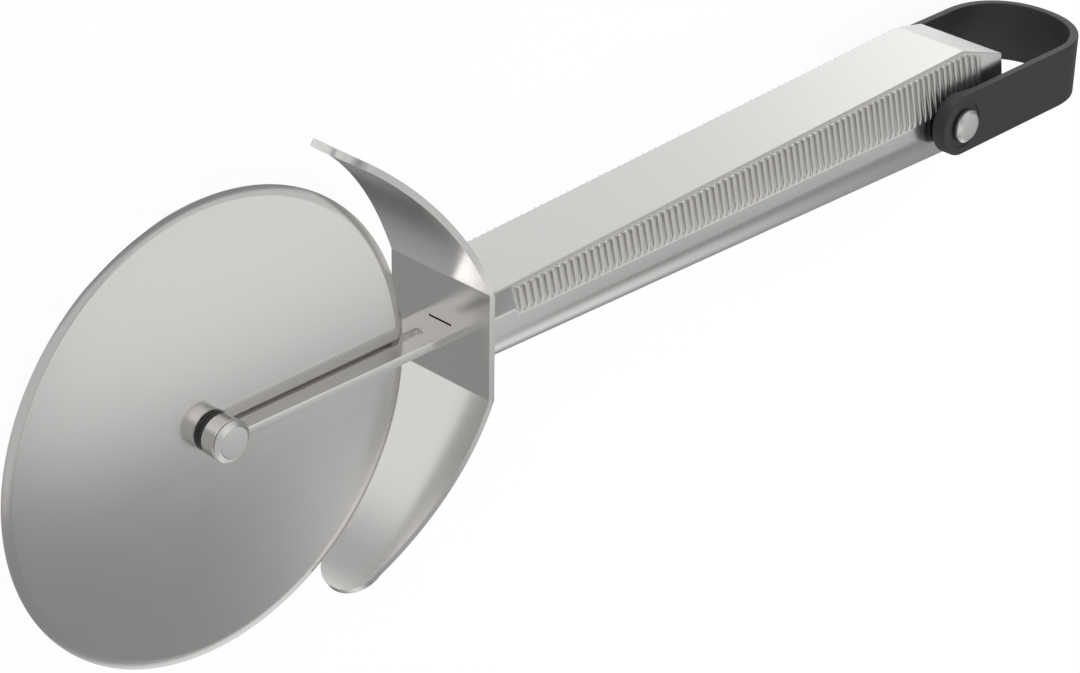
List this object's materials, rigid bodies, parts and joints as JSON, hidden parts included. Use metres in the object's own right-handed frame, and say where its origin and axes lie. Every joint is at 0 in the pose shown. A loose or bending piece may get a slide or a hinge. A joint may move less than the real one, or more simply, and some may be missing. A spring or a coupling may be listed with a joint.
{
  "type": "pizza cutter",
  "caption": "Steel pizza cutter: a bevelled cutting wheel that spins in a fork, a curved finger guard, a ribbed tapering hollow handle and a swinging black hanging loop.",
  "frame": {"origin": "middle of the base of the cutter, which lies on its side", "axes": "+X along the handle, from the cutting wheel to the hanging loop; +Y the way the handle's flat top faces; +Z along the wheel's axle, up from the surface the cutter lies on"},
  "size_m": [0.3182, 0.102, 0.0383],
  "materials": {
    "wheel_steel": "fine brushed stainless steel, softly graded",
    "fork_steel": "satin stainless steel",
    "guard_steel": "semi-polished stainless sheet",
    "handle_steel": "satin stainless steel",
    "rivet_steel": "turned stainless steel",
    "hidden_metal": "plain steel, out of sight",
    "loop_black": "matt black moulded plastic",
    "washer_black": "matt black plastic",
    "bush_black": "matt black bearing plastic"
  },
  "bodies": {
    "handle": {"handle_shell": "handle_steel", "handle_end_cap": "handle_steel", "tang_block": "hidden_metal", "tang_pin": "hidden_metal", "fork": "fork_steel", "finger_guard": "guard_steel", "axle_rivet": "rivet_steel", "axle_rivet_barrel": "rivet_steel", "loop_pin": "rivet_steel", "loop_pin_barrel": "rivet_steel", "loop_washer_near": "washer_black", "loop_washer_far": "washer_black", "pin_sleeve": "hidden_metal"},
    "wheel": {"cutting_wheel": "wheel_steel", "wheel_bush_near": "bush_black", "wheel_bush_far": "bush_black"},
    "loop": {"hanging_loop": "loop_black"}
  },
  "joints": [
    {"name": "wheel_spin", "type": "hinge", "parent": "handle", "child": "wheel", "pos_m": [-0.1091, 0, 0.01915], "axis": [0, 0, 1], "continuous": true},
    {"name": "loop_swing", "type": "hinge", "parent": "handle", "child": "loop", "pos_m": [0.104, 0.00105, 0.01915], "axis": [0, 0, 1], "range_deg": [-150, 150]}
  ]
}
